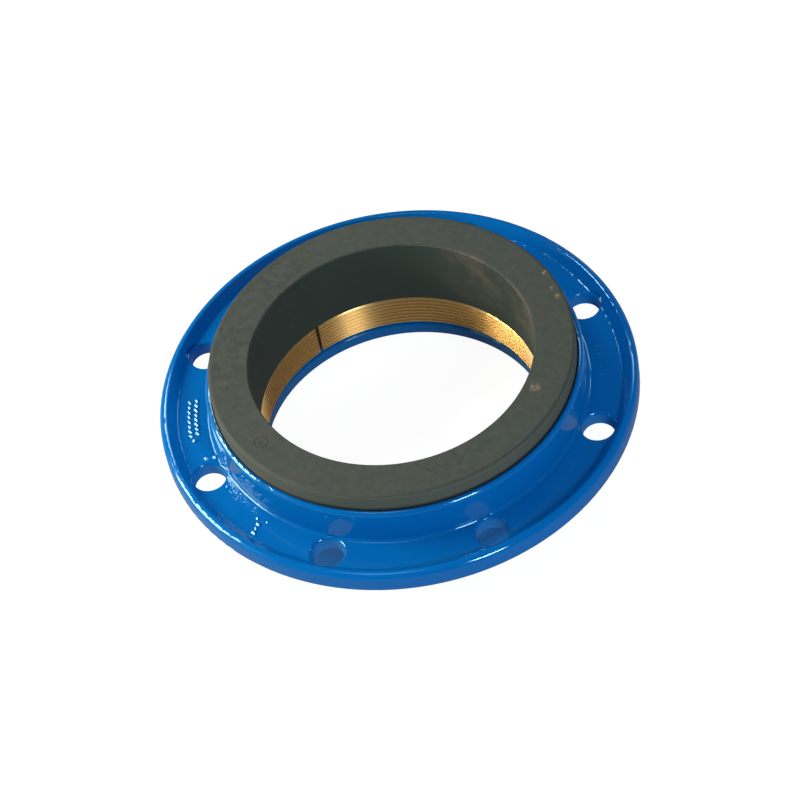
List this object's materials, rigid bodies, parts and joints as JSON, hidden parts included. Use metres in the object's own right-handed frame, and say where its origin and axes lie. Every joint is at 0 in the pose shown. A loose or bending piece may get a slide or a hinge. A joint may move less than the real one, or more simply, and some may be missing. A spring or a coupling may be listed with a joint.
{
  "type": "flange adaptor",
  "caption": "Round flange adaptor for a plain-ended plastic pipe, with a proud rubber gasket and a split toothed grip ring.",
  "frame": {"origin": "middle of the end face that the pipe enters, on the pipe's axis; the part stands on this face", "axes": "+Z along the pipe's axis towards the sealing face; the bolt holes stand half a pitch either side of +X"},
  "size_m": [0.34, 0.34, 0.0993],
  "materials": {
    "blue_epoxy": "gloss",
    "black_rubber": "matte",
    "brass": "machined"
  },
  "bodies": {
    "root": {"flange_body": "blue_epoxy", "gasket": "black_rubber", "grip_ring": "brass"}
  },
  "joints": []
}
